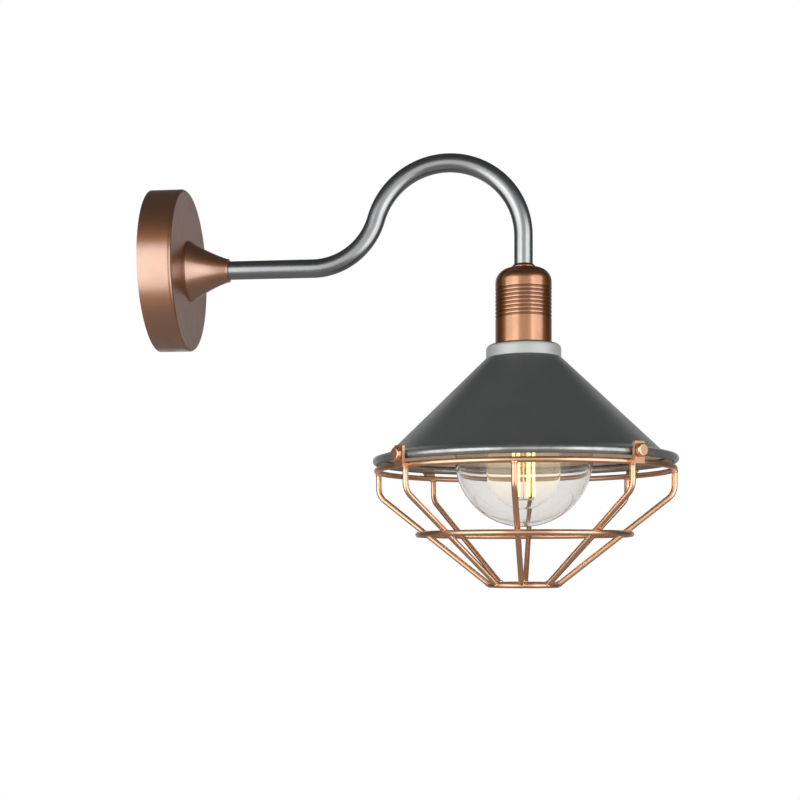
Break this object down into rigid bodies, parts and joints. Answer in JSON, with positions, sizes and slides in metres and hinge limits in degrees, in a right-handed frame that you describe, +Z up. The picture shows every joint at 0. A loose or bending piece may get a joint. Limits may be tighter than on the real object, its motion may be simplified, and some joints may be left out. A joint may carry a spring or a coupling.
{
  "type": "cage wall light",
  "caption": "Gooseneck wall light: round wall canopy, bent tube arm, turned lampholder cup, conical shade, glass bowl with bulb, and a clamped wire cage.",
  "frame": {"origin": "centre of the canopy's wall face", "axes": "+X leaves the wall along the arm, +Z up; the lamp hangs from the arm's end on a vertical axis at x = 322 mm"},
  "size_m": [0.452, 0.26, 0.3764],
  "materials": {
    "bronze_finish": "satin bronze lacquer on steel",
    "copper_wire": "bright copper plating on steel wire",
    "arm_steel": "satin nickel on steel tube",
    "shade_grey": "satin slate grey paint",
    "zinc_steel": "zinc plated",
    "brass_fittings": "plain brass",
    "fitter_metal": "satin aluminium",
    "holder_ceramic": "white glazed",
    "gasket_rubber": "soft black",
    "bowl_glass": "clear blown glass",
    "lamp_glass": "clear thin glass",
    "cap_metal": "bright rolled thread",
    "filament_glow": "yellow phosphor filaments, lit",
    "filament_wire": "bare support wire",
    "block_plastic": "white moulded",
    "flex_sheath": "white sheath",
    "lead_brown": "brown insulation",
    "lead_blue": "blue insulation",
    "lead_green": "green and yellow insulation",
    "lead_pair": "heat resistant insulation"
  },
  "bodies": {
    "lamp": {"wall_canopy": "bronze_finish", "mounting_strap": "zinc_steel", "canopy_screws": "zinc_steel", "earth_screw": "brass_fittings", "earth_washer": "brass_fittings", "terminal_block": "block_plastic", "terminal_screws": "brass_fittings", "arm_tube": "arm_steel", "arm_foot_bush": "zinc_steel", "arm_nipple": "zinc_steel", "arm_lock_washer": "zinc_steel", "arm_lock_nut": "zinc_steel", "arm_cone": "bronze_finish", "arm_end_bush": "zinc_steel", "head_nipple": "zinc_steel", "collar": "bronze_finish", "cup_lock_nut": "zinc_steel", "socket_cup": "bronze_finish", "holder_bridge": "zinc_steel", "bridge_screws": "zinc_steel", "lampholder": "holder_ceramic", "terminal_posts": "brass_fittings", "lampholder_shell": "brass_fittings", "centre_contact": "brass_fittings", "shade": "shade_grey", "shade_ring": "fitter_metal", "fitter_ring": "fitter_metal", "glass_fitter": "fitter_metal", "glass_gasket": "gasket_rubber", "supply_flex": "flex_sheath", "live_lead": "lead_brown", "neutral_lead": "lead_blue", "earth_lead": "lead_green", "holder_leads": "lead_pair"},
    "glass": {"glass_bowl": "bowl_glass"},
    "bulb": {"bulb_glass": "lamp_glass", "bulb_cap": "cap_metal", "bulb_contact": "brass_fittings", "bulb_stem": "lamp_glass", "bulb_filaments": "filament_glow", "filament_frame": "filament_wire"},
    "cage": {"cage_top_ring": "copper_wire", "cage_mid_ring": "copper_wire", "cage_bottom_ring": "copper_wire", "cage_clips": "copper_wire", "cage_wire_1": "copper_wire", "cage_wire_2": "copper_wire", "cage_wire_3": "copper_wire", "cage_wire_4": "copper_wire", "cage_wire_5": "copper_wire", "cage_wire_6": "copper_wire", "cage_wire_7": "copper_wire", "cage_wire_8": "copper_wire"},
    "thumb_screw_1_body": {"thumb_screw_1": "copper_wire"},
    "thumb_screw_2_body": {"thumb_screw_2": "copper_wire"},
    "thumb_screw_3_body": {"thumb_screw_3": "copper_wire"},
    "thumb_screw_4_body": {"thumb_screw_4": "copper_wire"}
  },
  "joints": [
    {"name": "cage_drop", "type": "slide", "parent": "lamp", "child": "cage", "axis": [0, 0, -1], "range_m": [0, 0.12]},
    {"name": "glass_turn", "type": "hinge", "parent": "lamp", "child": "glass", "pos_m": [0.322, 0, -0.108], "axis": [0, 0, 1], "range_deg": [0, 540]},
    {"name": "bulb_turn", "type": "hinge", "parent": "lamp", "child": "bulb", "pos_m": [0.322, 0, -0.09], "axis": [0, 0, 1], "continuous": true},
    {"name": "thumb_screw_1_out", "type": "slide", "parent": "cage", "child": "thumb_screw_1_body", "axis": [0.6428, -0.766, 0], "range_m": [0, 0.003]},
    {"name": "thumb_screw_2_out", "type": "slide", "parent": "cage", "child": "thumb_screw_2_body", "axis": [0.766, 0.6428, 0], "range_m": [0, 0.003]},
    {"name": "thumb_screw_3_out", "type": "slide", "parent": "cage", "child": "thumb_screw_3_body", "axis": [-0.6428, 0.766, 0], "range_m": [0, 0.003]},
    {"name": "thumb_screw_4_out", "type": "slide", "parent": "cage", "child": "thumb_screw_4_body", "axis": [-0.766, -0.6428, 0], "range_m": [0, 0.003]}
  ]
}
